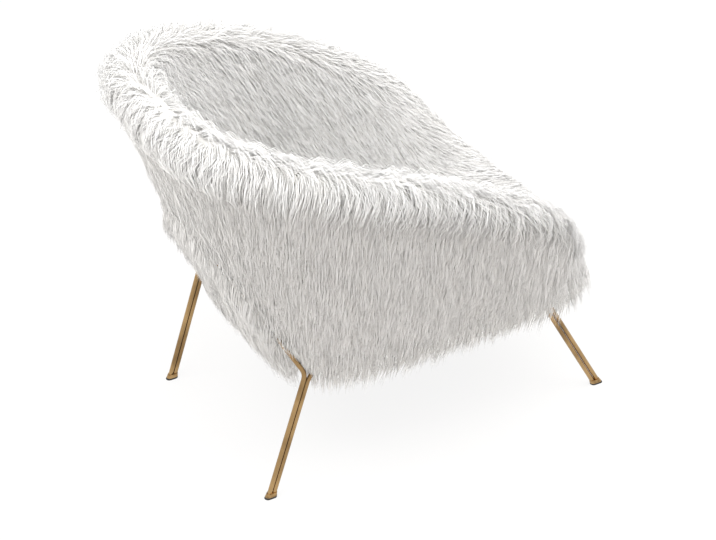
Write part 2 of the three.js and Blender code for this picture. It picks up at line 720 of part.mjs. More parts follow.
// The fur cover, in sewn panels.
const sector = roundSteps / 8;
const outsidePlaces = steps(0, 1, flankSteps);
const insidePlaces = [...steps(1, 2, rollSteps), ...steps(2, 3, wallSteps).slice(1)];
const outsidePanels = [
  ['fur_front_border', -1, 1], ['fur_outside_left', 1, 3],
  ['fur_outside_back', 3, 5], ['fur_outside_right', 5, 7],
];
for (const [name, from, to] of outsidePanels) {
  const shape = panel(from * sector, to * sector, outsidePlaces, coverThickness);
  const cutters = name === 'fur_outside_back' ? boltBores : [];
  body.add(mesh(name, cut(shape, cutters), fur));
}
const insidePanels = [
  ['fur_front_roll', -1, 1], ['fur_arm_left', 1, 2], ['fur_wing_left', 2, 3],
  ['fur_inside_back', 3, 5], ['fur_wing_right', 5, 6], ['fur_arm_right', 6, 7],
];
for (const [name, from, to] of insidePanels) {
  body.add(mesh(name, panel(from * sector, to * sector, insidePlaces, coverThickness), fur));
}
// The seat cushion's cover, drawn in at its edge by the seam.
function cushionProfile(angle) {
  const inner = (depth) => (v) => surface(angle, v).setZ(surface(angle, v).z - depth);
  return [
    ...steps(4, 3, seatSteps).slice(0, -1).map(inner(0)),
    seatEdge(angle, 0),
    seatEdge(angle, coverThickness),
    ...steps(3, 4, seatSteps).slice(1).map(inner(coverThickness)),
  ];
}
body.add(mesh('fur_seat', plug(cushionProfile), fur));

// The origin lies on the floor under the middle of the chair's length.
const whole = new THREE.Box3().setFromObject(chair);
chair.position.y = -(whole.min.y + whole.max.y) / 2;

export default chair;
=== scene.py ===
"""A low tub chair in long shaggy fur on a base of bent brass rod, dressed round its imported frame."""

import math
import random

import bmesh
import bpy
import numpy as np
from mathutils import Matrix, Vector
from mathutils.bvhtree import BVHTree


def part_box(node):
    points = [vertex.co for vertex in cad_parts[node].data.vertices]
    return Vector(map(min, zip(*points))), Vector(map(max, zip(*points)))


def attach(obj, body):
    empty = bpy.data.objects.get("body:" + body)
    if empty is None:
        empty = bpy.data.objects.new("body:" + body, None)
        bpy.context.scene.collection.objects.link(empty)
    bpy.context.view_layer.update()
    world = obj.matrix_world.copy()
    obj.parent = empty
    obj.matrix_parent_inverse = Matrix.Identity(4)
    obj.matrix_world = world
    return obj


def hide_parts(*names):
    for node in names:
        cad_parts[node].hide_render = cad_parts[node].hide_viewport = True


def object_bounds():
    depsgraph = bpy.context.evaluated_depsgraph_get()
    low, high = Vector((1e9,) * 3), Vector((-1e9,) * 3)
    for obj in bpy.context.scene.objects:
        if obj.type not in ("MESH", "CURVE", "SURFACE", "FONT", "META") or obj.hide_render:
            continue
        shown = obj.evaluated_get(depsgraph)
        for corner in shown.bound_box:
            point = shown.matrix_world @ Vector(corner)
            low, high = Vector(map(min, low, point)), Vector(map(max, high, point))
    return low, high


bl_info = {
    "name": "Shaggy tub chair",
    "version": (1, 0, 0),
    "blender": (4, 5, 0),
    "location": "3D View > Sidebar > Tub chair",
    "description": "Dresses the frame of a tub chair in long fur, brass and rubber",
    "category": "Object",
}

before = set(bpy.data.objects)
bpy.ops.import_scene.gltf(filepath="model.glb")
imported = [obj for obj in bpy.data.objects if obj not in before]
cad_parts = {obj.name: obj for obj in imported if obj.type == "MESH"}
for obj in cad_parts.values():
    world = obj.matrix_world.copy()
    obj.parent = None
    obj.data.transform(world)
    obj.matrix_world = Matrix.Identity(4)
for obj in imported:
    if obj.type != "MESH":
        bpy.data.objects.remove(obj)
CAD_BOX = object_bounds()
BODY = "root"

# The cover's panels by where they are on the chair.
OUTSIDE_PANELS = ("fur_front_border", "fur_outside_left", "fur_outside_back", "fur_outside_right")
INSIDE_PANELS = (
    "fur_front_roll", "fur_arm_left", "fur_wing_left", "fur_inside_back", "fur_wing_right", "fur_arm_right",
)
SEAT_PANEL = "fur_seat"
RODS = ("side_rod_left", "side_rod_right", "front_hoop", "back_hoop", "hoop_tab_left", "hoop_tab_right")
BAKE_MAP = "OFBake"  # the map of a lock: across for its tint, up for the way from root to tip


def middle_of(node):
    low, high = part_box(node)
    return (low + high) / 2


DOWN = np.array((0.0, 0.0, -1.0))
FORWARD = np.array((0.0, -1.0, 0.0))

# Places on the frame.
HEM_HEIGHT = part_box("fur_outside_left")[0].z
RIM_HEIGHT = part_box("fur_inside_back")[1].z
SEAT_MIDDLE = middle_of(SEAT_PANEL)
BOWL_SHIFT = 0.05  # the bowl's middle lies this far behind the seat's
KNEE_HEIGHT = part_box("front_hoop")[1].z  # the rods' height under the seat
ROD_SEEN = KNEE_HEIGHT + 0.085  # up to here the hoop shows through the parted fur

# The ground that a panel's pile grows on.
MERGE_DISTANCE = 1e-5
JOIN_ANGLE = math.radians(40)  # two triangles that bend less than this at their edge become one face
JOIN_SKEW = math.radians(60)  # and that face's corners are off square by no more than this
GROUND_STEP = 0.022  # the longest edge of a ground's faces
FACING_DOWN = -0.75  # a face whose normal points further down than this carries no pile
COVERED = 0.012  # a face with another piece this near before it is out of sight
SKIN_LIFT = 1e-4  # from the face to where the look for that piece starts
STRIP_RISE = 0.010  # the strip of pile over the hoop starts this far above the rod
STRIP_OUT = 0.0045  # and this far outside it
STRIP_SLOPE = 0.15  # how far the strip looks up
OUTER_SIDE = 0.1  # a face of the rod that looks outwards more than this is on its outer side

# The combing. A pair says where a change starts and where it is complete.
FRONT_TURN = (-0.15, 0.75)  # from the sides of the bowl to its front
OUTSIDE_TURN = (-0.75, 0.05)  # from the inside of the bowl to its outside
PARTING_START = (-0.95, -0.45)  # the parting on the rim, coming from the inside
PARTING_END = (-0.15, 0.35)
TOP_TURN = (0.1, 0.8)  # from upright cover to cover that faces up
UPPER_TURN = (-0.25, 0.3)  # from cover that faces down to cover that faces up a little
PARTING_SPREAD = 0.2  # how far each side of the middle the combing at the rim turns over
PARTING_PULL = 1.4
SPLAY = 0.15  # how far the outside's pile leans out, for each unit that it hangs down
SWEEP = 0.04  # and how far it leans forward
ROLL_SWEEP = 0.55  # and how much more on the upper part of the front
TOP_SWEEP = (0.2, 1.3)  # on top of the rim: everywhere, and more towards the front
INSIDE_SWEEP = 0.6
SEAT_DROP = 0.2
SEAT_SPLAY = 0.25

# The pile's length and loft over a panel, as shares of the fur's sizes.
HEM_BAND = 0.06  # the height of the hem's band
HEM_REACH = 0.2  # longer at the hem
HEM_RAGGED = 0.1  # and ragged there
HEM_WAVES = (61, 97)  # waves round the hem
HEM_LOFT = -0.2
ROLL_TURN = (0.1, 0.6)
ROLL_REACH = 0.12
ROLL_LOFT = 0.25
HIGH_TURN = (0.1, 0.7)
HIGH_BAND = (HEM_HEIGHT + 0.15, RIM_HEIGHT)
HIGH_LOFT = 1.6
OVER_ROD = (0.012, 0.07)  # from the rod to here the pile stands higher, to close over it
ROD_CLOSING = (ROD_SEEN - 0.02, ROD_SEEN + 0.015)
BY_KNEE = (0.006, 0.020)  # from the rod to here the pile is shorter, to leave it in view
ROD_OPENING = (ROD_SEEN - 0.025, ROD_SEEN + 0.025)
KNEE_REACH = 0.55
KNEE_LOFT = 0.5
OUTSIDE_LOFT = 0.9
RIM_LOFT = 1.1
SEAT_REACH = 0.8
SEAT_LOFT = 1.0
STRIP_BEND = 3.0
STRIP_REACH = 0.85
STRIP_LOFT = 0.25

# How the cover turns away below a lock, in turns of one radian for each metre.
FEELERS = (0.02, 0.045)  # the cover is felt for this far ahead of a lock's root
FEELER_REACH = 0.05
FEELER_FACING = -0.2  # a cover that faces further away than this is another side of the tub
LEAST_BEND = 0.5  # also the bend of a lock whose cover can't be felt
BEND_EASE = 0.5  # a lock bends this much less than its cover
BEND_RANGE = (-18.0, 22.0)

# A lock's height over its cover on its way from root to tip, and the room that it may take.
RISE_OUT = 1.5
RISE_BACK = 1.15
HIGHEST_LIFT = 1.2  # a little over the highest of the locks' lifts
ROOT_DEPTH = 0.003
ROOM_SHARE = 0.03  # a lock is kept within this share of the CAD box past it
ROOM_FIXED = 0.010  # and this much more
STRAY = 0.003  # how much further than its own curve a lock may lean
FITTING_ROUNDS = 8
FITTED_FROM = 0.2  # a lock is only fitted to the room above this height

# A tuft.
TUFT_KINDS = 6
TUFT_SEED = 11
TUFT_RADIUS = 0.0048
TUFT_FAN = 0.11  # how far a lock leans aside for each unit of its length
LOCKS_IN_TUFT = 6
LOCK_SIDES = 3
LOCK_STATIONS = (0.0, 0.48)
LOCK_TRIANGLES = 10
LOCK_FLATNESS = 0.7
LOCK_LIFTS = (0.62, 1.12)  # a lock's lift, length and width, as shares of the fur's sizes
LOCK_LENGTHS = (0.6, 1.0)
LOCK_WIDTHS = (0.5, 1.15)
UNLAID_WIDTH = 0.001  # a lock's size before the nodes lay it
UNLAID_LENGTH = 0.06
NEAREST_TUFT = 0.62  # the least gap, as a share of the mean gap between tufts
SPARE_TUFTS = 1.35  # tufts tried for each one that is wanted
SWAY_SCALE = 34.0  # steps of the sway's noise in a metre
SWAY_GAIN = 4.0
TUFTS_KEPT = 0.93  # of the tufts asked for, how many find room
HOOP_TUFTS = 2.2  # tufts over the hoop for each one on the cover
MOST_TRIANGLES = 185000  # in one piece of pile
KEPT_LAYERS = {BAKE_MAP, "position", "sharp_face", "material_index", "custom_normal"}

# The seat's pads and the caps on the rods' ends.
PAD_PRESSURE = 4.0
PAD_FRAMES = 20
PAD_QUALITY = 6
CAP_SHARE = 0.88  # a cap's width as a share of its glide's
SOLE_HEIGHT = 0.0035
SOLE_BLUR = 0.0006  # the height over which rubber gives way to brass


# Sizes and colours that a user would change.

class FurSizes(bpy.types.PropertyGroup):
    """The pile's sizes."""

    pile: bpy.props.FloatProperty(
        name="Pile", description="Length of the longest locks", default=0.068, min=0.01, max=0.15,
        unit="LENGTH")
    lock_width: bpy.props.FloatProperty(
        name="Lock width", description="Width of a lock at its root", default=0.0021, min=0.0005, max=0.01,
        unit="LENGTH")
    lift: bpy.props.FloatProperty(
        name="Lift", description="How far a lock stands off the backing, as a share of its length",
        default=0.36, min=0.0, max=1.0, subtype="FACTOR")
    droop: bpy.props.FloatProperty(
        name="Droop", description="How far a tip sags, as a share of the lock's length",
        default=0.14, min=0.0, max=1.0, subtype="FACTOR")
    sway: bpy.props.FloatProperty(
        name="Sway", description="How far neighbouring tips lean together", default=0.006, min=0.0, max=0.05,
        unit="LENGTH")
    tufts: bpy.props.FloatProperty(
        name="Tufts", description="Tufts on a square metre of backing", default=16500.0, min=100.0, max=50000.0)
    # The roots are a little darker than the tips: painted shade deep in the pile.
    root_colour_and_shade: bpy.props.FloatVectorProperty(
        name="Roots", description="Colour of the pile at the backing", subtype="COLOR", size=3,
        default=(0.94, 0.935, 0.92), min=0.0, max=1.0)
    tip_colour: bpy.props.FloatVectorProperty(
        name="Tips", description="Colour of the pile at its tips", subtype="COLOR", size=3,
        default=(0.96, 0.955, 0.945), min=0.0, max=1.0)


class BrassFinish(bpy.types.PropertyGroup):
    """The finish of the rods."""

    colour: bpy.props.FloatVectorProperty(
        name="Brass", description="Colour of the polished brass", subtype="COLOR", size=3,
        default=(0.47, 0.31, 0.145), min=0.0, max=1.0)
    dull_colour: bpy.props.FloatVectorProperty(
        name="Dull brass", description="Colour where the lacquer has dulled", subtype="COLOR", size=3,
        default=(0.25, 0.155, 0.07), min=0.0, max=1.0)
    roughness: bpy.props.FloatProperty(
        name="Roughness", description="Roughness of the polished brass", default=0.24, min=0.0, max=1.0,
        subtype="FACTOR")


class StageLight(bpy.types.PropertyGroup):
    """The studio."""

    world: bpy.props.FloatProperty(
        name="World", description="Strength of the light from all round", default=1.0, min=0.0, max=3.0)
    key: bpy.props.FloatProperty(
        name="Key lamp", description="Power of the large lamp above", default=82.0, min=0.0, max=500.0,
        subtype="POWER")
    rim: bpy.props.FloatProperty(
        name="Side lamp", description="Power of the lamp beside the chair's back", default=60.0, min=0.0,
        max=500.0, subtype="POWER")


# Node trees.

class Value:
    """A socket of a node tree that takes plain arithmetic."""

    def __init__(self, nodes, socket):
        self.nodes = nodes
        self.socket = socket

    def _math(self, operation, *values):
        return self.nodes.add("ShaderNodeMath", {"operation": operation}, values)

    def __add__(self, other):
        return self._math("ADD", self, other)

    def __sub__(self, other):
        return self._math("SUBTRACT", self, other)

    def __rsub__(self, other):
        return self._math("SUBTRACT", other, self)

    def __mul__(self, other):
        return self._math("MULTIPLY", self, other)

    def __rtruediv__(self, other):
        return self._math("DIVIDE", other, self)

    def __neg__(self):
        return self._math("MULTIPLY", self, -1.0)

    def __pow__(self, other):
        return self._math("POWER", self, other)

    def sin(self):
        return self._math("SINE", self)

    def cos(self):
        return self._math("COSINE", self)

    def atleast(self, low):
        return self._math("MAXIMUM", self, low)

    def atmost(self, high):
        return self._math("MINIMUM", self, high)

    def size(self):
        return self._math("ABSOLUTE", self)

    def sign(self):
        return self._math("SIGN", self)

    def along(self, low, high, start=0.0, end=1.0):
        """This value carried smoothly from the range low to high to the range start to end."""
        return self.nodes.add(
            "ShaderNodeMapRange", {"interpolation_type": "SMOOTHSTEP", "clamp": True},
            (self, low, high, start, end))


class Arrow:
    """A vector socket that takes plain arithmetic."""

    def __init__(self, nodes, socket):
        self.nodes = nodes
        self.socket = socket

    def _math(self, operation, *values):
        return self.nodes.arrow("ShaderNodeVectorMath", {"operation": operation}, values)

    def __add__(self, other):
        return self._math("ADD", self, other)

    def __sub__(self, other):
        return self._math("SUBTRACT", self, other)

    def __mul__(self, factor):
        made = self.nodes.raw("ShaderNodeVectorMath", {"operation": "SCALE"})
        self.nodes.feed(made.inputs[0], self)
        self.nodes.feed(made.inputs["Scale"], factor)
        return Arrow(self.nodes, made.outputs[0])

    def cross(self, other):
        return self._math("CROSS_PRODUCT", self, other)

    def unit(self):
        return self._math("NORMALIZE", self)

    def part(self, which):
        made = self.nodes.raw("ShaderNodeSeparateXYZ")
        self.nodes.feed(made.inputs[0], self)
        return Value(self.nodes, made.outputs[which])


class Nodes:
    """A node tree that is written as expressions."""

    def __init__(self, tree):
        self.tree = tree

    def raw(self, kind, settings=None):
        made = self.tree.nodes.new(kind)
        for key, value in (settings or {}).items():
            setattr(made, key, value)
        return made

    def feed(self, socket, value):
        if isinstance(value, (Value, Arrow)):
            self.tree.links.new(value.socket, socket)
        elif isinstance(value, bpy.types.NodeSocket):
            self.tree.links.new(value, socket)
        elif value is not None:
            socket.default_value = value

    def node(self, kind, settings=None, inputs=()):
        """A node with its settings, and its inputs by order or by name."""
        made = self.raw(kind, settings)
        pairs = inputs.items() if isinstance(inputs, dict) else enumerate(inputs)
        for key, value in pairs:
            self.feed(made.inputs[key], value)
        return made

    def add(self, kind, settings=None, inputs=(), output=0):
        return Value(self, self.node(kind, settings, inputs).outputs[output])

    def arrow(self, kind, settings=None, inputs=(), output=0):
        return Arrow(self, self.node(kind, settings, inputs).outputs[output])

    def ramp(self, factor, stops):
        made = self.raw("ShaderNodeValToRGB")
        self.feed(made.inputs[0], factor)
        elements = made.color_ramp.elements
        while len(elements) < len(stops):
            elements.new(0.5)
        for element, (place, colour) in zip(elements, stops):
            element.position = place
            element.color = (*colour, 1.0)
        return made.outputs[0]

    def mix(self, factor, first, second, blend="MIX"):
        made = self.raw("ShaderNodeMix", {"data_type": "RGBA", "blend_type": blend})
        colours = [s for s in made.inputs if s.type == "RGBA"]
        self.feed(made.inputs[0], factor)
        for socket, value in zip(colours, (first, second)):
            self.feed(socket, (*value, 1.0) if isinstance(value, tuple) else value)
        return next(s for s in made.outputs if s.type == "RGBA")


def finish(name, paint):
    """A material whose nodes a function paints: it gets the nodes and the Principled shader."""
    material = bpy.data.materials.new(name)
    material.use_nodes = True
    nodes = Nodes(material.node_tree)
    shader = next(n for n in material.node_tree.nodes if n.type == "BSDF_PRINCIPLED")
    paint(nodes, shader)
    return material


def noise(nodes, scale, detail=3.0, stretch=(1.0, 1.0, 1.0)):
    """Noise on the object's own coordinates, stretched along its axes."""
    place = nodes.add("ShaderNodeTexCoord", output="Object")
    moved = nodes.node("ShaderNodeMapping", inputs={"Vector": place})
    moved.inputs["Scale"].default_value = stretch
    return nodes.add("ShaderNodeTexNoise", inputs={
        "Vector": moved.outputs[0], "Scale": scale, "Detail": detail})


def bumped(nodes, shader, height, strength, distance):
    """Raises a finish's surface by a height from 0 to 1, for a distance in metres."""
    made = nodes.node("ShaderNodeBump", inputs={"Height": height, "Strength": strength, "Distance": distance})
    nodes.feed(shader.inputs["Normal"], made.outputs[0])


# Finishes.

def paint_pile(nodes, shader):
    fur = bpy.context.scene.tub_fur
    place = nodes.node("ShaderNodeUVMap", {"uv_map": BAKE_MAP})
    spot = Arrow(nodes, place.outputs[0])
    tint = spot.part(0)
    way = spot.part(1)
    # Darker at the roots than at the tips: painted shade between the locks.
    colour = nodes.mix(way.along(0.0, 0.62), tuple(fur.root_colour_and_shade), tuple(fur.tip_colour))
    warm = nodes.mix(tint.along(0.1, 0.9), (0.93, 0.92, 0.90), (1.0, 1.0, 1.0))
    nodes.feed(shader.inputs["Base Color"], nodes.mix(1.0, colour, warm, "MULTIPLY"))
    for key, value in (
        ("Roughness", 0.6), ("Specular IOR Level", 0.2), ("Sheen Weight", 0.3), ("Sheen Roughness", 0.4),
        ("Subsurface Weight", 0.4), ("Subsurface Radius", (1.0, 1.0, 1.0)), ("Subsurface Scale", 0.01),
    ):
        shader.inputs[key].default_value = value


def paint_backing_in_shade(nodes, shader):
    knit = noise(nodes, scale=420.0, detail=4.0)
    patch = noise(nodes, scale=16.0, detail=2.0)
    # The knit and patches are the backing's own; its grey, darker than the pile, is painted shade of the pile
    # over it.
    colour = nodes.ramp(knit * 0.6 + patch * 0.4, [
        (0.35, (0.56, 0.55, 0.53)),
        (0.65, (0.68, 0.67, 0.65)),
    ])
    nodes.feed(shader.inputs["Base Color"], colour)
    bumped(nodes, shader, knit, strength=0.5, distance=0.0015)
    shader.inputs["Roughness"].default_value = 0.95


def paint_brass(nodes, shader):
    brass = bpy.context.scene.tub_brass
    wear = noise(nodes, scale=9.0, detail=5.0)
    grain = noise(nodes, scale=260.0, stretch=(1.0, 1.0, 0.06))
    dull = wear.along(0.42, 0.68)
    nodes.feed(shader.inputs["Base Color"], nodes.mix(dull, tuple(brass.colour), tuple(brass.dull_colour)))
    nodes.feed(shader.inputs["Roughness"], dull * 0.10 + grain * 0.10 + (brass.roughness - 0.05))
    bumped(nodes, shader, grain, strength=0.08, distance=0.0004)
    shader.inputs["Metallic"].default_value = 1.0


def paint_foot(nodes, shader):
    """Dull brass above, a dark rubber sole below."""
    brass = bpy.context.scene.tub_brass
    mould = noise(nodes, scale=340.0)
    scuff = noise(nodes, scale=70.0, detail=4.0)
    place = Arrow(nodes, nodes.raw("ShaderNodeTexCoord").outputs["Object"])
    metal = place.part(2).along(SOLE_HEIGHT, SOLE_HEIGHT + SOLE_BLUR)
    sole = nodes.mix(scuff.along(0.55, 0.75), (0.018, 0.017, 0.017), (0.06, 0.056, 0.052))
    cup = nodes.mix(scuff.along(0.4, 0.7), tuple(brass.colour), tuple(brass.dull_colour))
    nodes.feed(shader.inputs["Base Color"], nodes.mix(metal, sole, cup))
    nodes.feed(shader.inputs["Metallic"], metal)
    nodes.feed(shader.inputs["Roughness"], mould * 0.15 + 0.5 - metal * 0.2)
    bumped(nodes, shader, mould, strength=0.25, distance=0.0003)


def paint_zinc(nodes, shader):
    flake = nodes.add("ShaderNodeTexVoronoi", inputs={"Scale": 180.0}, output="Color")
    tone = noise(nodes, scale=60.0, detail=4.0)
    nodes.feed(shader.inputs["Base Color"], nodes.mix(tone, (0.42, 0.43, 0.44), (0.68, 0.67, 0.63)))
    shine = nodes.add("ShaderNodeSeparateColor", inputs=(flake.socket,))
    nodes.feed(shader.inputs["Roughness"], shine * 0.15 + 0.3)
    shader.inputs["Metallic"].default_value = 1.0


def paint_ply(nodes, shader):
    grain = noise(nodes, scale=34.0, detail=6.0, stretch=(1.0, 0.08, 1.0))
    pore = noise(nodes, scale=260.0, stretch=(1.0, 0.05, 1.0))
    colour = nodes.ramp(grain * 0.8 + pore * 0.2, [
        (0.3, (0.30, 0.19, 0.10)),
        (0.7, (0.60, 0.43, 0.25)),
    ])
    nodes.feed(shader.inputs["Base Color"], colour)
    nodes.feed(shader.inputs["Roughness"], pore * 0.2 + 0.55)
    bumped(nodes, shader, pore, strength=0.2, distance=0.0005)


def paint_foam(nodes, shader):
    cell = nodes.add("ShaderNodeTexVoronoi", inputs={"Scale": 420.0}, output="Distance")
    nodes.feed(shader.inputs["Base Color"], nodes.mix(
        cell.along(0.0, 0.6), (0.50, 0.44, 0.27), (0.80, 0.74, 0.52)))
    bumped(nodes, shader, cell, strength=0.6, distance=0.001)
    shader.inputs["Roughness"].default_value = 1.0


def paint_lining(nodes, shader):
    fibre = noise(nodes, scale=700.0, stretch=(1.0, 0.25, 1.0))
    nodes.feed(shader.inputs["Base Color"], nodes.mix(
        fibre.along(0.35, 0.7), (0.012, 0.012, 0.013), (0.05, 0.05, 0.052)))
    bumped(nodes, shader, fibre, strength=0.5, distance=0.0005)
    shader.inputs["Roughness"].default_value = 0.9


def wear_finish(nodes_of_cad, material):
    """Gives CAD nodes a finish."""
    for name in nodes_of_cad:
        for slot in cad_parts[name].material_slots:
            slot.material = material


def stand_in(piece, node, material, smooth=True):
    """Gives a piece its finish and puts it in a CAD node's place."""
    piece.data.materials.clear()
    piece.data.materials.append(bpy.data.materials[material])
    for polygon in piece.data.polygons:
        polygon.use_smooth = smooth
    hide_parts(node)
    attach(piece, BODY)


# The pile.

def merged_mesh(node, name):
    """A copy of a CAD node's mesh with its points joined."""
    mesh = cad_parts[node].data.copy()
    mesh.name = name
    mesh.materials.clear()
    work = bmesh.new()
    work.from_mesh(mesh)
    bmesh.ops.remove_doubles(work, verts=work.verts, dist=MERGE_DISTANCE)
    bmesh.ops.join_triangles(
        work, faces=work.faces, angle_face_threshold=JOIN_ANGLE, angle_shape_threshold=JOIN_SKEW)
    work.to_mesh(mesh)
    work.free()
    return mesh


def placed(name, mesh):
    made = bpy.data.objects.new(name, mesh)
    bpy.context.scene.collection.objects.link(made)
    return made


def settled(piece):
    """The piece with its modifiers applied."""
    bpy.context.view_layer.update()
    graph = bpy.context.evaluated_depsgraph_get()
    mesh = bpy.data.meshes.new_from_object(piece.evaluated_get(graph))
    old = piece.data
    piece.modifiers.clear()
    piece.data = mesh
    bpy.data.meshes.remove(old)
    return piece


def tree_of(nodes):
    """One search tree over the triangles of several CAD nodes."""
    points = []
    faces = []
    for name in nodes:
        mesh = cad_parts[name].data
        start = len(points)
        points += [v.co.copy() for v in mesh.vertices]
        faces += [[start + i for i in p.vertices] for p in mesh.polygons]
    return BVHTree.FromPolygons(points, faces)


HOOP = tree_of(("back_hoop",))


def smoothly(value, low, high):
    """0 up to the low value, 1 from the high one, and a smooth change between."""
    q = np.clip((value - low) / (high - low), 0, 1)
    return q * q * (3 - 2 * q)


def unit(rows):
    return rows / np.maximum(np.linalg.norm(rows, axis=1, keepdims=True), 1e-9)


def ways_at(points):
    """The level direction from the bowl's middle to each point, and how far round to the front it is."""
    away = points - np.array((0.0, SEAT_MIDDLE.y + BOWL_SHIFT, 0.0))
    away[:, 2] = 0
    away = unit(away)
    return away, smoothly(-away[:, 1], *FRONT_TURN)


def lie_of(points, normals, seat):
    """The way the pile is combed at each point: down the outside, along the rim at its parting, and down and
    forward inside."""
    away, ahead = ways_at(points)
    ahead = ahead[:, None]
    facing = (normals * away).sum(1)
    outward = smoothly(facing, *OUTSIDE_TURN)[:, None]
    parted = (smoothly(facing, *PARTING_START) * (1 - smoothly(facing, *PARTING_END)))[:, None]
    high = smoothly(normals[:, 2], *TOP_TURN)[:, None]
    side = np.clip(points[:, :1] / PARTING_SPREAD, -1, 1)
    round_rim = np.stack([-away[:, 1], away[:, 0], np.zeros(len(away))], 1) * -side
    upper = smoothly(normals[:, 2], *UPPER_TURN)[:, None]
    sweep = SWEEP + ROLL_SWEEP * upper * ahead + high * (TOP_SWEEP[0] + TOP_SWEEP[1] * ahead)
    outside = DOWN + away * (SPLAY + high) + FORWARD * sweep
    inside = DOWN + FORWARD * INSIDE_SWEEP
    if seat:
        way = DOWN * SEAT_DROP + FORWARD + away * SEAT_SPLAY
    else:
        way = outside * outward + inside * (1 - outward) + round_rim * parted * PARTING_PULL
    way = way - normals * (way * normals).sum(1)[:, None]
    return unit(way)


def bend_of(points, normals, lie, cover):
    """How sharply the cover turns away below each lock."""
    bend = np.full(len(points), LEAST_BEND)
    for i, (p, n, t) in enumerate(zip(points, normals, lie)):
        seen = []
        for step in FEELERS:
            ahead = Vector(p + t * step)
            if ahead.z < HEM_HEIGHT:
                continue
            found, facing, _, _ = cover.find_nearest(ahead, FEELER_REACH)
            if found is None or facing.dot(Vector(n)) < FEELER_FACING:
                continue
            drop = -(found - Vector(p)).dot(Vector(n))
            reach = (found - Vector(p)).length
            seen.append(2 * drop / max(reach * reach, 1e-6))
        if seen:
            bend[i] = min(seen) - BEND_EASE
    return np.clip(bend, *BEND_RANGE)


def fitted_loft(points, normals, lie, bend, reach, loft):
    """The reach and the loft, made less where a lock would stand further out than the room round the CAD box.
    """
    fur = bpy.context.scene.tub_fur
    low, high = CAD_BOX
    spare = np.array([(high[k] - low[k]) * ROOM_SHARE + ROOM_FIXED - STRAY for k in range(3)])
    lowest = np.array(low) - spare
    highest = np.array(high) + spare
    bend = np.where(np.abs(bend) < LEAST_BEND, LEAST_BEND, bend)[:, None]
    for _ in range(FITTING_ROUNDS):
        outside = np.zeros(len(points), bool)
        for way in (LOCK_STATIONS[1], 1.0):
            gone = fur.pile * (reach * way)[:, None]
            share = RISE_OUT * way - RISE_BACK * way * way
            rise = (fur.pile * reach * loft * fur.lift * HIGHEST_LIFT * share)[:, None] - ROOT_DEPTH
            facing = normals * np.cos(gone * bend) + lie * np.sin(gone * bend)
            place = points - normals / bend + facing * (1 / bend + rise)
            outside |= ((place < lowest) | (place > highest)).any(1) & (place[:, 2] > FITTED_FROM)
        loft = np.where(outside, loft * 0.8, loft)
        reach = np.where(outside, reach * 0.97, reach)
    return reach, loft


def split_small(work):
    """Splits a mesh's faces until no edge is longer than the ground's step."""
    bmesh.ops.triangulate(work, faces=work.faces)
    while wide := [edge for edge in work.edges if edge.calc_length() > GROUND_STEP]:
        bmesh.ops.subdivide_edges(work, edges=wide, cuts=1)
        bmesh.ops.triangulate(work, faces=work.faces)


def points_of(mesh):
    """A mesh's points and their normals, as rows."""
    points = np.empty(len(mesh.vertices) * 3)
    mesh.vertices.foreach_get("co", points)
    return points.reshape(-1, 3), np.array([v.normal for v in mesh.vertices]).reshape(-1, 3)


def combed(mesh, points, normals, lie, bend, reach, loft):
    """Stores a ground's combing at its corners."""
    reach, loft = fitted_loft(points, normals, lie, bend, reach, loft)
    for key, kind, field, values in (
        ("lie", "FLOAT_VECTOR", "vector", lie), ("up", "FLOAT_VECTOR", "vector", normals),
        ("bend", "FLOAT", "value", bend), ("reach", "FLOAT", "value", reach), ("loft", "FLOAT", "value", loft),
    ):
        layer = mesh.attributes.new(key, kind, "POINT")
        layer.data.foreach_set(field, np.asarray(values, np.float32).ravel())
    return mesh


def pile_ground(panel, cover, seat=None, rim=False):
    """The outer faces of a panel with its pile's lie, bend, length and loft at each corner.

    The seat's pile grows on its blown-up backing, which is given as seat. A rim is a panel of the rolled edge
    or the inside."""
    mesh = seat.data.copy() if seat else merged_mesh(panel, panel + "_ground")
    mesh.materials.clear()
    work = bmesh.new()
    work.from_mesh(mesh)
    split_small(work)
    others = tree_of([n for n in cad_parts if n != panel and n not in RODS])
    hidden = [
        face for face in work.faces if face.normal.z < FACING_DOWN or others.ray_cast(
            face.calc_center_median() + face.normal * SKIN_LIFT, face.normal, COVERED)[0] is not None]
    bmesh.ops.delete(work, geom=hidden, context="FACES")
    work.normal_update()
    work.to_mesh(mesh)
    work.free()
    points, normals = points_of(mesh)
    count = len(points)
    lie = lie_of(points, normals, seat)
    bend = bend_of(points, normals, lie, cover)
    height = points[:, 2]
    low = 1 - smoothly(height, HEM_HEIGHT, HEM_HEIGHT + HEM_BAND)
    rod = np.array([HOOP.find_nearest(Vector(q))[3] for q in points])
    over_rod = (1 - smoothly(rod, *OVER_ROD)) * smoothly(height, *ROD_CLOSING)
    by_knee = (1 - smoothly(rod, *BY_KNEE)) * (1 - smoothly(height, *ROD_OPENING))
    high = smoothly(normals[:, 2], *HIGH_TURN) * smoothly(height, *HIGH_BAND)
    away, _ = ways_at(points)
    rolled = smoothly((normals * away).sum(1), *ROLL_TURN) if rim else np.zeros(count)
    round_hem = np.arctan2(points[:, 1], points[:, 0])
    ragged = np.sin(HEM_WAVES[0] * round_hem) + 0.7 * np.sin(HEM_WAVES[1] * round_hem + 1.3)
    if seat:
        reach, loft = np.full(count, SEAT_REACH), np.full(count, SEAT_LOFT)
    else:
        reach = 1.0 + (HEM_REACH + HEM_RAGGED * ragged) * low + ROLL_REACH * rolled
        reach = reach * (1 - KNEE_REACH * by_knee)
        loft = RIM_LOFT if rim else OUTSIDE_LOFT
        loft = loft + HIGH_LOFT * high + ROLL_LOFT * rolled + HEM_LOFT * low + over_rod - KNEE_LOFT * by_knee
    return combed(mesh, points, normals, lie, bend, reach, loft)


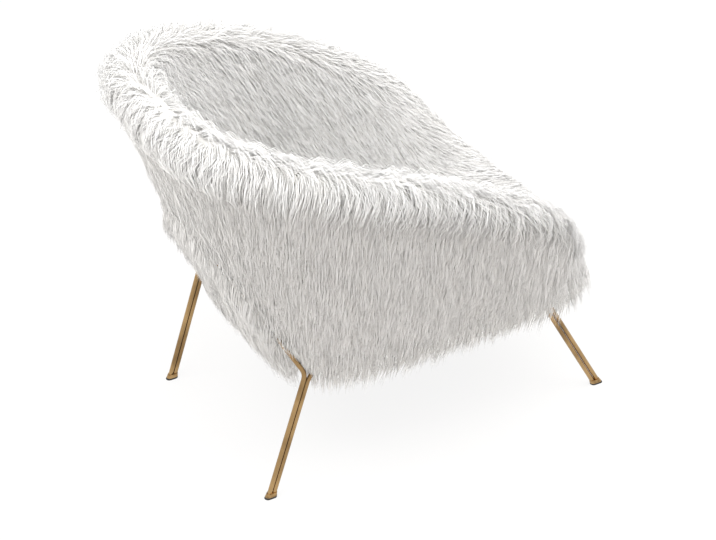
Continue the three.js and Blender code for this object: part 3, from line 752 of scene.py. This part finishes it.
def hoop_ground():
    """A strip just above the hoop, at its outer side, from which the outside's fur closes over it."""
    mesh = merged_mesh("back_hoop", "hoop_ground")
    work = bmesh.new()
    work.from_mesh(mesh)
    split_small(work)
    work.normal_update()
    inner = []
    for face in work.faces:
        middle = face.calc_center_median()
        away, _ = ways_at(np.array([middle]))
        if middle.z < ROD_SEEN or face.normal.dot(Vector(away[0])) < OUTER_SIDE:
            inner.append(face)
    bmesh.ops.delete(work, geom=inner, context="FACES")
    work.normal_update()
    work.to_mesh(mesh)
    work.free()
    points, normals = points_of(mesh)
    away, _ = ways_at(points)
    points = points - DOWN * STRIP_RISE + away * STRIP_OUT
    mesh.vertices.foreach_set("co", points.astype(np.float32).ravel())
    normals = unit(away - DOWN * STRIP_SLOPE)
    lie = unit(DOWN - normals * (normals * DOWN).sum(1)[:, None])
    count = len(points)
    bend, reach, loft = (np.full(count, value) for value in (STRIP_BEND, STRIP_REACH, STRIP_LOFT))
    return combed(mesh, points, normals, lie, bend, reach, loft)


def parts_of(mesh, most):
    """Splits a ground into parts side by side, each with no more than a share of its area."""
    areas = np.array([p.area for p in mesh.polygons])
    count = max(1, math.ceil(areas.sum() / most))
    if count == 1:
        return [mesh]
    middles = np.array([p.center for p in mesh.polygons])
    axis = int(np.argmax(np.ptp(middles, axis=0)[:2]))
    order = np.argsort(middles[:, axis])
    place = np.cumsum(areas[order]) / areas.sum() * count
    part = np.empty(len(areas), int)
    part[order] = np.minimum(place.astype(int), count - 1)
    made = []
    for k in range(count):
        piece = mesh.copy()
        work = bmesh.new()
        work.from_mesh(piece)
        work.faces.ensure_lookup_table()
        bmesh.ops.delete(work, geom=[work.faces[i] for i in np.nonzero(part != k)[0]], context="FACES")
        work.to_mesh(piece)
        work.free()
        made.append(piece)
    return made


def tuft_mesh(name, draw):
    """A tuft of locks in unit form: each point keeps its way along its lock, its place round it and the lock's
    lean."""
    points, faces, way, ring, lean, grow = [], [], [], [], [], []
    rows = len(LOCK_STATIONS)
    for _ in range(LOCKS_IN_TUFT):
        start = len(points)
        side, back = draw.uniform(-TUFT_RADIUS, TUFT_RADIUS), draw.uniform(-TUFT_RADIUS, TUFT_RADIUS)
        fan = draw.uniform(-TUFT_FAN, TUFT_FAN)
        lift, length, tint = draw.uniform(*LOCK_LIFTS), draw.uniform(*LOCK_LENGTHS), draw.random()
        width = draw.uniform(*LOCK_WIDTHS)
        turn = draw.uniform(0, math.tau)
        for s in LOCK_STATIONS:
            thick = 0.62 + 0.9 * s - 1.3 * s * s
            for j in range(LOCK_SIDES):
                a = turn + math.tau * j / LOCK_SIDES
                ring.append((math.cos(a) * thick, math.sin(a) * thick * LOCK_FLATNESS, tint))
                way.append(s)
        ring.append((0.0, 0.0, tint))
        way.append(1.0)
        for i in range(rows * LOCK_SIDES + 1):
            q = start + i
            points.append((ring[q][0] * UNLAID_WIDTH, way[q] * UNLAID_LENGTH, ring[q][1] * UNLAID_WIDTH))
            lean.append((side, back, fan))
            grow.append((lift, length, width))
        faces.append([start + j for j in reversed(range(LOCK_SIDES))])
        for i in range(rows - 1):
            for j in range(LOCK_SIDES):
                a = start + i * LOCK_SIDES + j
                b = start + i * LOCK_SIDES + (j + 1) % LOCK_SIDES
                faces.append([a, b, b + LOCK_SIDES, a + LOCK_SIDES])
        tip = start + rows * LOCK_SIDES
        for j in range(LOCK_SIDES):
            a = start + (rows - 1) * LOCK_SIDES + j
            b = start + (rows - 1) * LOCK_SIDES + (j + 1) % LOCK_SIDES
            faces.append([a, b, tip])
    mesh = bpy.data.meshes.new(name)
    mesh.from_pydata(points, [], faces)
    for key, values in (("ring", ring), ("lean", lean), ("grow", grow)):
        mesh.attributes.new(key, "FLOAT_VECTOR", "POINT").data.foreach_set(
            "vector", np.asarray(values, np.float32).ravel())
    mesh.attributes.new("way", "FLOAT", "POINT").data.foreach_set("value", np.asarray(way, np.float32))
    return mesh


def tuft_collection():
    """The tufts that the pile is made of, kept out of the scene."""
    found = bpy.data.collections.get("tufts")
    if found:
        return found
    found = bpy.data.collections.new("tufts")
    draw = random.Random(TUFT_SEED)
    for k in range(TUFT_KINDS):
        made = bpy.data.objects.new(f"tuft_{k}", tuft_mesh(f"tuft_{k}", draw))
        found.objects.link(made)
    return found


def named(nodes, key, vector=True):
    kind = "FLOAT_VECTOR" if vector else "FLOAT"
    made = nodes.node("GeometryNodeInputNamedAttribute", {"data_type": kind}, {"Name": key})
    return Arrow(nodes, made.outputs[0]) if vector else Value(nodes, made.outputs[0])


def stored(nodes, geometry, key, value, domain="POINT", kind="FLOAT_VECTOR"):
    made = nodes.raw("GeometryNodeStoreNamedAttribute", {"data_type": kind, "domain": domain})
    nodes.feed(made.inputs["Geometry"], geometry)
    nodes.feed(made.inputs["Name"], key)
    socket = next(s for s in made.inputs if s.enabled and s.name == "Value")
    nodes.feed(socket, value)
    return made.outputs[0]


def pile_tree():
    """The nodes that plant tufts on a ground and lay each lock along the cover."""
    tree = bpy.data.node_groups.get("Shaggy pile")
    if tree:
        return tree
    tree = bpy.data.node_groups.new("Shaggy pile", "GeometryNodeTree")
    face = tree.interface
    face.new_socket("Geometry", in_out="INPUT", socket_type="NodeSocketGeometry")
    sizes = ("Tufts", "Pile", "Width", "Lift", "Droop", "Sway", "Root depth")
    for name, kind in (
        *((size, "Float") for size in sizes), ("Seed", "Int"), ("Kinds", "Collection"), ("Finish", "Material"),
    ):
        face.new_socket(name, in_out="INPUT", socket_type="NodeSocket" + kind)
    face.new_socket("Geometry", in_out="OUTPUT", socket_type="NodeSocketGeometry")
    nodes = Nodes(tree)
    given = nodes.raw("NodeGroupInput").outputs
    value = {s.name: Value(nodes, s) for s in given if s.name}

    spread = nodes.node("GeometryNodeDistributePointsOnFaces", {"distribute_method": "POISSON"})
    nodes.feed(spread.inputs["Mesh"], given["Geometry"])
    nodes.feed(spread.inputs["Distance Min"], NEAREST_TUFT / (value["Tufts"] ** 0.5))
    nodes.feed(spread.inputs["Density Max"], value["Tufts"] * SPARE_TUFTS)
    nodes.feed(spread.inputs["Seed"], value["Seed"])
    points = spread.outputs["Points"]
    points = stored(nodes, points, "root", nodes.arrow("GeometryNodeInputPosition"))
    shade = nodes.node("FunctionNodeRandomValue", {"data_type": "FLOAT"}, {"Seed": value["Seed"]})
    points = stored(nodes, points, "shade", Value(nodes, shade.outputs[1]), kind="FLOAT")

    kinds = nodes.node("GeometryNodeCollectionInfo", inputs={
        "Collection": given["Kinds"], "Separate Children": True, "Reset Children": True})
    which = nodes.node("FunctionNodeRandomValue", {"data_type": "INT"})
    for socket in which.inputs:
        if socket.enabled and socket.name in ("Min", "Max"):
            socket.default_value = 0 if socket.name == "Min" else TUFT_KINDS - 1
    nodes.feed(which.inputs["Seed"], value["Seed"])
    planted = nodes.node("GeometryNodeInstanceOnPoints", inputs={
        "Points": points, "Instance": kinds.outputs[0], "Pick Instance": True,
        "Instance Index": next(s for s in which.outputs if s.enabled)})
    real = nodes.node("GeometryNodeRealizeInstances", inputs=(planted.outputs[0],)).outputs[0]

    root = named(nodes, "root")
    off = named(nodes, "up").unit()
    lie = named(nodes, "lie")
    aside = off.cross(lie).unit()
    lie = aside.cross(off).unit()
    way = named(nodes, "way", False)
    ring = named(nodes, "ring")
    lean = named(nodes, "lean")
    grow = named(nodes, "grow")
    shade = named(nodes, "shade", False)
    reach = named(nodes, "reach", False)
    bend = named(nodes, "bend", False) + 0.0001
    bend = bend.sign() * bend.size().atleast(LEAST_BEND)
    length = value["Pile"] * reach * grow.part(1) * (shade * 0.3 + 0.75)
    gone = way * length
    loft = named(nodes, "loft", False) * value["Lift"] * grow.part(0)
    rise = length * loft * (way * RISE_OUT - way * way * RISE_BACK) - value["Root depth"]
    turn = gone * bend
    facing = off * turn.cos() + lie * turn.sin()
    line = root - off * (1.0 / bend) + facing * (1.0 / bend + rise)
    line = line + lie * lean.part(1) + aside * (lean.part(0) + gone * lean.part(2))
    sway_place = root * SWAY_SCALE
    sway = nodes.node("ShaderNodeTexNoise", inputs={"Vector": sway_place.socket, "Scale": 1.0, "Detail": 2.0})
    leaning = Arrow(nodes, sway.outputs["Color"]) - nodes.arrow(
        "ShaderNodeCombineXYZ", inputs=(0.5, 0.5, 0.5))
    line = line + leaning * (way * way * value["Sway"] * SWAY_GAIN)
    hang = 1.0 - off.part(2).atleast(0.0)
    line = line + nodes.arrow("ShaderNodeCombineXYZ", inputs=(
        0.0, 0.0, -(way * way * length * value["Droop"] * hang)))
    half = value["Width"] * grow.part(2) * 0.5
    line = line + aside * (ring.part(0) * half) + facing * (ring.part(1) * half)
    moved = nodes.node("GeometryNodeSetPosition", inputs={"Geometry": real, "Position": line.socket}).outputs[0]
    soft = facing * 0.45 + off * 0.45 + aside * (ring.part(0) * 0.4) + facing * (ring.part(1) * 0.3)
    moved = nodes.node("GeometryNodeSetMeshNormal", {"mode": "FREE", "domain": "POINT"}, {
        "Mesh": moved, "Custom Normal": soft.unit().socket}).outputs[0]
    tint = shade * 0.5 + ring.part(2) * 0.5
    spot = nodes.arrow("ShaderNodeCombineXYZ", inputs=(tint, way, 0.0))
    mapped = stored(nodes, moved, BAKE_MAP, spot, "CORNER", "FLOAT2")
    smooth = nodes.node("GeometryNodeSetShadeSmooth", inputs={"Geometry": mapped}).outputs[0]
    dressed = nodes.node("GeometryNodeSetMaterial", inputs={"Geometry": smooth, "Material": given["Finish"]})
    nodes.feed(nodes.raw("NodeGroupOutput").inputs[0], dressed.outputs[0])
    return tree


def set_inputs(modifier, **values):
    """Sets a Geometry Nodes modifier's inputs by their names."""
    for item in modifier.node_group.interface.items_tree:
        if item.item_type == "SOCKET" and item.in_out == "INPUT" and item.name in values:
            modifier[item.identifier] = values[item.name]


def plant(name, ground, seed, share=1.0):
    """Plants pile on a ground and leaves it as a plain mesh."""
    fur = bpy.context.scene.tub_fur
    pile = placed(name, ground)
    modifier = pile.modifiers.new("pile", "NODES")
    modifier.node_group = pile_tree()
    set_inputs(modifier, **{
        "Tufts": fur.tufts * share, "Pile": fur.pile, "Width": fur.lock_width, "Lift": fur.lift,
        "Droop": fur.droop, "Sway": fur.sway, "Root depth": ROOT_DEPTH, "Seed": seed,
        "Kinds": tuft_collection(), "Finish": bpy.data.materials["pile"]})
    settled(pile)
    layers = pile.data.attributes
    for key in [a.name for a in layers if not (a.is_internal or a.is_required or a.name in KEPT_LAYERS)]:
        layers.remove(layers[key])
    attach(pile, BODY)


def grow_pile(panel, cover, seed, seat=None):
    """The pile of one panel, in as many pieces as its size asks for."""
    fur = bpy.context.scene.tub_fur
    most = MOST_TRIANGLES / (fur.tufts * TUFTS_KEPT * LOCKS_IN_TUFT * LOCK_TRIANGLES)
    grounds = parts_of(pile_ground(panel, cover, seat, panel in INSIDE_PANELS), most)
    name = panel.replace("fur_", "") + "_pile"
    for k, ground in enumerate(grounds):
        plant(f"{name}_{k + 1}" if len(grounds) > 1 else name, ground, seed + k)


def panel_skin(panel, name=None, material="backing"):
    """A panel's backing over its wadding, rounded at its seams."""
    name = name or panel.replace("fur_", "") + "_backing"
    skin = placed(name, merged_mesh(panel, name))
    rounding = skin.modifiers.new("rounding", "SUBSURF")
    rounding.levels = rounding.render_levels = 2
    settled(skin)
    stand_in(skin, panel, material)


def blown_up(pad, voxel, shrink, most):
    """Blows a pad up by cloth simulation, from a slightly smaller copy of its solid, and leaves a plain mesh.

    No point moves further than the most that is given."""
    remesh = pad.modifiers.new("remesh", "REMESH")
    remesh.mode = "VOXEL"
    remesh.voxel_size = voxel
    settled(pad)
    mesh = pad.data
    solid = np.array([v.co for v in mesh.vertices])
    start = solid - np.array([v.normal for v in mesh.vertices]) * shrink
    mesh.vertices.foreach_set("co", start.astype(np.float32).ravel())
    cloth = pad.modifiers.new("cloth", "CLOTH")
    cloth.settings.quality = PAD_QUALITY
    cloth.settings.use_pressure = True
    cloth.settings.uniform_pressure_force = PAD_PRESSURE
    cloth.settings.effector_weights.gravity = 0.0
    scene = bpy.context.scene
    for number in range(1, PAD_FRAMES + 1):
        scene.frame_set(number)
    graph = bpy.context.evaluated_depsgraph_get()
    swollen = np.array([v.co for v in pad.evaluated_get(graph).data.vertices])
    pad.modifiers.clear()
    scene.frame_set(1)
    moved = swollen - start
    far = np.linalg.norm(moved, axis=1, keepdims=True)
    swollen = start + moved * np.minimum(1.0, most / np.maximum(far, 1e-9))
    mesh.vertices.foreach_set("co", swollen.astype(np.float32).ravel())
    smooth = pad.modifiers.new("smooth", "SUBSURF")
    smooth.levels = smooth.render_levels = 1
    return settled(pad)


def padding(node, name, voxel, shrink, most, material):
    """A padded piece in a soft solid's place, blown up in cloth."""
    pad = blown_up(placed(name, merged_mesh(node, name)), voxel, shrink, most)
    stand_in(pad, node, material)
    return pad


def cover_tree():
    """The search tree over the whole cover."""
    return tree_of([*OUTSIDE_PANELS, *INSIDE_PANELS, SEAT_PANEL])


def dress(panels, seed):
    """Gives each panel its backing and its pile."""
    cover = cover_tree()
    for k, panel in enumerate(panels):
        panel_skin(panel)
        grow_pile(panel, cover, seed + 10 * k)


class MakeOutside(bpy.types.Operator):
    """Covers the outside of the tub in combed fur"""

    bl_idname = "tub.outside"
    bl_label = "Outside fur"

    def execute(self, context):
        dress(OUTSIDE_PANELS, seed=100)
        plant("hoop_pile", hoop_ground(), seed=400, share=HOOP_TUFTS)
        return {"FINISHED"}


class MakeInside(bpy.types.Operator):
    """Covers the rolled edge and the inside of the tub in fur"""

    bl_idname = "tub.inside"
    bl_label = "Inside fur"

    def execute(self, context):
        dress(INSIDE_PANELS, seed=200)
        panel_skin("foam_bucket", "tub_pad", "foam")
        return {"FINISHED"}


def foot_cap(glide):
    """A rod end's cap: a slim cup close round both rods, with a rubber sole."""
    cap = placed(glide.replace("glide", "foot_cap"), merged_mesh(glide, glide + "_cap"))
    middle = middle_of(glide)
    for v in cap.data.vertices:
        v.co.x = middle.x + (v.co.x - middle.x) * CAP_SHARE
        v.co.y = middle.y + (v.co.y - middle.y) * CAP_SHARE
    stand_in(cap, glide, "foot cap", smooth=False)


class MakeFeet(bpy.types.Operator):
    """Makes the caps on the rods' ends"""

    bl_idname = "tub.feet"
    bl_label = "Foot caps"

    def execute(self, context):
        for name in [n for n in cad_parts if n.startswith("glide")]:
            foot_cap(name)
        return {"FINISHED"}


class MakeSeat(bpy.types.Operator):
    """Makes the seat's cushion and its fur"""

    bl_idname = "tub.seat"
    bl_label = "Seat cushion"

    def execute(self, context):
        skin = padding(
            SEAT_PANEL, "seat_backing", voxel=0.006, shrink=0.004, most=0.012, material="backing")
        grow_pile(SEAT_PANEL, cover_tree(), seed=300, seat=skin)
        padding(
            "foam_seat", "seat_pad", voxel=0.008, shrink=0.003, most=0.005, material="foam")
        return {"FINISHED"}


class MakeFinishes(bpy.types.Operator):
    """Makes the finishes and puts them on the hard pieces"""

    bl_idname = "tub.finishes"
    bl_label = "Brass, rubber and the rest"

    def execute(self, context):
        finish("pile", paint_pile)
        finish("backing", paint_backing_in_shade)
        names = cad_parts
        wear_finish(RODS, finish("brass", paint_brass))
        finish("foot cap", paint_foot)
        wear_finish(
            [n for n in names if n.startswith(("seat_plate", "seat_screw", "hoop_bolt", "hoop_nut"))],
            finish("zinc plate", paint_zinc))
        wear_finish(("seat_board", "seat_shell"), finish("plywood", paint_ply))
        finish("foam", paint_foam)
        wear_finish(("dust_cover",), finish("lining", paint_lining))
        return {"FINISHED"}


# The stage.

CAMERA_PLACE = Vector((-3.2330, 1.8274, 2.7415))
CAMERA_AIM = Vector((0.1197, -0.0609, 0.2208))
LENS = 105.59
LAMP_AIM = Vector((0.0, 0.0, 0.45))
KEY_PLACE = Vector((-0.9, -1.3, 3.1))
KEY_WIDTH = 3.0
SIDE_PLACE = Vector((-0.2, 1.5, 2.9))
SIDE_WIDTH = 2.4
FLOOR_HALF = 6.0
PAPER = (0.9, 0.875, 0.85, 1.0)
PAPER_FADE = (1.2, 4.0)  # from this far out to this far out the floor fades to plain white
PAPER_WHITE = 0.86  # how white it is before that
SKY = (1.0, 0.985, 0.965)


def area_lamp(name, place, width, power):
    """A round lamp that looks at the chair."""
    light = bpy.data.lights.new(name, "AREA")
    light.shape = "DISK"
    light.size = width
    light.energy = power
    lamp = bpy.data.objects.new(name, light)
    bpy.context.scene.collection.objects.link(lamp)
    lamp.location = place
    lamp.rotation_euler = (LAMP_AIM - place).to_track_quat("-Z", "Y").to_euler()


def background_seen(nodes):
    """1 for the rays that see the background as it is: the camera's, and those in metal and glass."""
    path = nodes.raw("ShaderNodeLightPath")
    seen = Value(nodes, path.outputs["Is Camera Ray"]) + Value(nodes, path.outputs["Is Glossy Ray"])
    return (seen + Value(nodes, path.outputs["Is Transmission Ray"])).atmost(1.0)


class MakeStage(bpy.types.Operator):
    """Makes the floor, the lamps and the camera"""

    bl_idname = "tub.stage"
    bl_label = "Studio"

    def execute(self, context):
        scene = context.scene
        studio = scene.tub_stage
        floor_mesh = bpy.data.meshes.new("floor")
        half = FLOOR_HALF
        floor_mesh.from_pydata(
            [(-half, -half, 0), (half, -half, 0), (half, half, 0), (-half, half, 0)], [], [(0, 1, 2, 3)])
        floor = placed("floor", floor_mesh)
        paper = bpy.data.materials.new("paper")
        paper.use_nodes = True
        nodes = Nodes(paper.node_tree)
        paper.node_tree.nodes.clear()
        matte = nodes.node("ShaderNodeBsdfDiffuse", inputs={"Color": PAPER})
        glow = nodes.node("ShaderNodeEmission", inputs={"Strength": 1.0})
        place = nodes.raw("ShaderNodeTexCoord").outputs["Object"]
        far = nodes.add("ShaderNodeVectorMath", {"operation": "LENGTH"}, (place,), output="Value")
        white = background_seen(nodes) * far.along(*PAPER_FADE, PAPER_WHITE, 1.0)
        mixed = nodes.node("ShaderNodeMixShader", inputs=(white, matte.outputs[0], glow.outputs[0]))
        nodes.feed(nodes.raw("ShaderNodeOutputMaterial").inputs[0], mixed.outputs[0])
        floor.data.materials.append(paper)

        world = bpy.data.worlds.new("studio")
        scene.world = world
        world.use_nodes = True
        nodes = Nodes(world.node_tree)
        sky = next(n for n in world.node_tree.nodes if n.type == "BACKGROUND")
        seen = nodes.node("ShaderNodeLightPath")
        camera_ray = Value(nodes, seen.outputs["Is Camera Ray"])
        nodes.feed(sky.inputs["Color"], nodes.mix(camera_ray, SKY, (1.0, 1.0, 1.0)))
        nodes.feed(sky.inputs["Strength"], camera_ray * (1.0 - studio.world) + studio.world)

        area_lamp("key lamp", KEY_PLACE, KEY_WIDTH, studio.key)
        area_lamp("side lamp", SIDE_PLACE, SIDE_WIDTH, studio.rim)

        camera = bpy.data.objects.new("camera", bpy.data.cameras.new("camera"))
        scene.collection.objects.link(camera)
        camera.location = CAMERA_PLACE
        camera.rotation_euler = (CAMERA_AIM - CAMERA_PLACE).to_track_quat("-Z", "Y").to_euler()
        camera.data.lens = LENS
        scene.camera = camera
        scene.view_settings.view_transform = "Standard"
        return {"FINISHED"}


class TubPanel(bpy.types.Panel):
    """The chair's steps and sizes"""

    bl_idname = "VIEW3D_PT_tub_chair"
    bl_label = "Tub chair"
    bl_space_type = "VIEW_3D"
    bl_region_type = "UI"
    bl_category = "Tub chair"

    def draw(self, context):
        for group in (context.scene.tub_fur, context.scene.tub_brass, context.scene.tub_stage):
            box = self.layout.box()
            for key in group.__annotations__:
                box.prop(group, key)
        for step in STEPS:
            self.layout.operator(step.bl_idname)


STEPS = (MakeStage, MakeFinishes, MakeFeet, MakeOutside, MakeInside, MakeSeat)
GROUPS = {"tub_fur": FurSizes, "tub_brass": BrassFinish, "tub_stage": StageLight}


def register():
    for key, group in GROUPS.items():
        bpy.utils.register_class(group)
        setattr(bpy.types.Scene, key, bpy.props.PointerProperty(type=group))
    for step in (*STEPS, TubPanel):
        bpy.utils.register_class(step)


def unregister():
    for step in reversed((*STEPS, TubPanel)):
        bpy.utils.unregister_class(step)
    for key, group in GROUPS.items():
        delattr(bpy.types.Scene, key)
        bpy.utils.unregister_class(group)


def main():
    register()
    bpy.ops.tub.stage()
    bpy.ops.tub.finishes()
    bpy.ops.tub.feet()
    bpy.ops.tub.outside()
    bpy.ops.tub.inside()
    bpy.ops.tub.seat()


if __name__ == "__main__":
    main()
